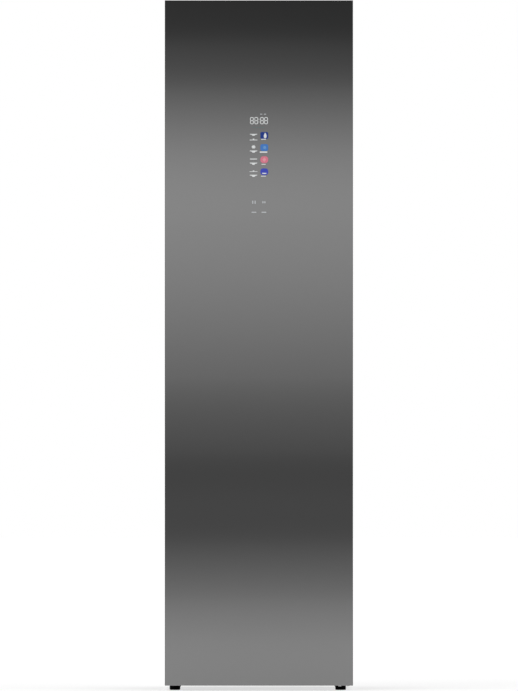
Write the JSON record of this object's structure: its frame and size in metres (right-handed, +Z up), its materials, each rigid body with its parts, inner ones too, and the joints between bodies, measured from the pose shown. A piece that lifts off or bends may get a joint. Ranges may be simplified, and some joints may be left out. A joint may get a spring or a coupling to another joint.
{
  "type": "clothes care steam cabinet",
  "caption": "Tall slim clothes care cabinet: full-height tinted glass door, shaking hanger bar, hangers, wire shelf, lift-out water tanks and lint filter, heat pump and steamer below.",
  "frame": {"origin": "on the floor, under the middle of the cabinet's box", "axes": "+Z up, +X to the right seen from the front, +Y to the back; the glass door faces -Y"},
  "size_m": [0.5, 0.6, 1.834],
  "materials": {
    "tinted_glass": "tinted mirror-like glass, grey",
    "case_steel": "fine satin graphite coat",
    "zinc": "zinc-coated sheet steel",
    "stainless": "polished stainless steel",
    "aluminium": "bright mill finish",
    "copper": "drawn copper",
    "liner_grey": "light grey moulded plastic",
    "dark_plastic": "fine-grained dark plastic",
    "black_plastic": "black plastic",
    "rubber": "soft black rubber",
    "silicone": "translucent silicone hose",
    "tank_plastic": "clear blue-grey moulded plastic",
    "foam": "white expanded foam and white plastic",
    "black_steel": "black enamelled steel",
    "circuit_board": "green laminate with black chips",
    "lamp_lens": "opal lens"
  },
  "bodies": {
    "cabinet": {"left_side_panel": "case_steel", "right_side_panel": "case_steel", "top_cover": "case_steel", "base_tray": "zinc", "rear_panel": "zinc", "top_hinge": "zinc", "bottom_hinge": "zinc", "blower_motor": "zinc", "shaker_bridge": "zinc", "evaporator": "aluminium", "condenser": "aluminium", "steam_generator": "aluminium", "discharge_pipe": "copper", "suction_pipe": "copper", "cabin_liner": "liner_grey", "cabin_floor": "liner_grey", "front_frame": "dark_plastic", "lower_front_panel": "dark_plastic", "air_grille": "dark_plastic", "steam_nozzle": "dark_plastic", "hinge_cover": "black_plastic", "blower_housing": "black_plastic", "water_pump": "black_plastic", "drain_pump": "black_plastic", "left_carriage_guide": "black_plastic", "right_carriage_guide": "black_plastic", "cable_gland": "rubber", "steam_hose": "silicone", "water_hose": "silicone", "air_duct": "foam", "compressor": "black_steel", "shaker_motor": "black_steel", "control_board": "circuit_board", "cabin_lamp": "lamp_lens"},
    "door": {"door_glass": "tinted_glass", "door_frame": "dark_plastic", "door_liner": "liner_grey", "door_gasket": "rubber", "grip_cup": "black_plastic", "top_hinge_bush": "black_plastic", "bottom_hinge_bush": "black_plastic", "light_guide": "foam", "display_board": "circuit_board"},
    "front_left_foot": {"front_left_foot": "black_plastic"},
    "front_right_foot": {"front_right_foot": "black_plastic"},
    "rear_left_foot": {"rear_left_foot": "black_plastic"},
    "rear_right_foot": {"rear_right_foot": "black_plastic"},
    "supply_tank": {"supply_tank": "tank_plastic"},
    "supply_tank_handle": {"supply_tank_handle": "dark_plastic"},
    "drain_tank": {"drain_tank": "tank_plastic"},
    "drain_tank_handle": {"drain_tank_handle": "dark_plastic"},
    "lint_filter": {"lint_filter": "dark_plastic"},
    "wire_shelf": {"wire_shelf": "stainless"},
    "blower_wheel": {"blower_wheel": "foam"},
    "hanger_bar": {"hanger_bar": "stainless", "shaker_carriage": "zinc"},
    "crank": {"crank_disc": "stainless"},
    "left_hanger": {"left_hanger": "black_plastic"},
    "middle_hanger": {"middle_hanger": "black_plastic"},
    "right_hanger": {"right_hanger": "black_plastic"}
  },
  "joints": [
    {"name": "door_hinge", "type": "hinge", "parent": "cabinet", "child": "door", "pos_m": [0.235, -0.272, 0.9], "axis": [0, 0, 1], "range_deg": [0, 110]},
    {"name": "shake_slide", "type": "slide", "parent": "cabinet", "child": "hanger_bar", "axis": [1, 0, 0], "range_m": [-0.015, 0.015]},
    {"name": "crank_turn", "type": "hinge", "parent": "cabinet", "child": "crank", "pos_m": [0, -0.0055, 1.72], "axis": [0, 0, 1], "range_deg": [-50, 50]},
    {"name": "blower_spin", "type": "hinge", "parent": "cabinet", "child": "blower_wheel", "pos_m": [-0.0769, 0.19, 0.1126], "axis": [0, 1, 0], "continuous": true},
    {"name": "supply_tank_lift", "type": "slide", "parent": "cabinet", "child": "supply_tank", "axis": [0, 0, 1], "range_m": [0, 0.22]},
    {"name": "supply_handle_fold", "type": "hinge", "parent": "supply_tank", "child": "supply_tank_handle", "pos_m": [-0.1231, -0.1125, 0.421], "axis": [-1, 0, 0], "range_deg": [0, 90]},
    {"name": "drain_tank_lift", "type": "slide", "parent": "cabinet", "child": "drain_tank", "axis": [0, 0, 1], "range_m": [0, 0.22]},
    {"name": "drain_handle_fold", "type": "hinge", "parent": "drain_tank", "child": "drain_tank_handle", "pos_m": [0.1231, -0.1125, 0.421], "axis": [-1, 0, 0], "range_deg": [0, 90]},
    {"name": "lint_filter_lift", "type": "slide", "parent": "cabinet", "child": "lint_filter", "axis": [0, 0, 1], "range_m": [0, 0.17]},
    {"name": "shelf_lift", "type": "slide", "parent": "cabinet", "child": "wire_shelf", "axis": [0, 0, 1], "range_m": [0, 0.15]},
    {"name": "left_hanger_swing", "type": "hinge", "parent": "hanger_bar", "child": "left_hanger", "pos_m": [-0.11, -0.0055, 1.655], "axis": [1, 0, 0], "range_deg": [-6, 6]},
    {"name": "middle_hanger_swing", "type": "hinge", "parent": "hanger_bar", "child": "middle_hanger", "pos_m": [0, -0.0055, 1.655], "axis": [1, 0, 0], "range_deg": [-6, 6]},
    {"name": "right_hanger_swing", "type": "hinge", "parent": "hanger_bar", "child": "right_hanger", "pos_m": [0.11, -0.0055, 1.655], "axis": [1, 0, 0], "range_deg": [-6, 6]},
    {"name": "front_left_foot_screw", "type": "slide", "parent": "cabinet", "child": "front_left_foot", "axis": [0, 0, -1], "range_m": [-0.002, 0.012]},
    {"name": "front_right_foot_screw", "type": "slide", "parent": "cabinet", "child": "front_right_foot", "axis": [0, 0, -1], "range_m": [-0.002, 0.012]},
    {"name": "rear_left_foot_screw", "type": "slide", "parent": "cabinet", "child": "rear_left_foot", "axis": [0, 0, -1], "range_m": [-0.002, 0.012]},
    {"name": "rear_right_foot_screw", "type": "slide", "parent": "cabinet", "child": "rear_right_foot", "axis": [0, 0, -1], "range_m": [-0.002, 0.012]}
  ],
  "couplings": [
    {"joint": "crank_turn", "follows": "shake_slide", "rad_per_m": -57.04}
  ]
}
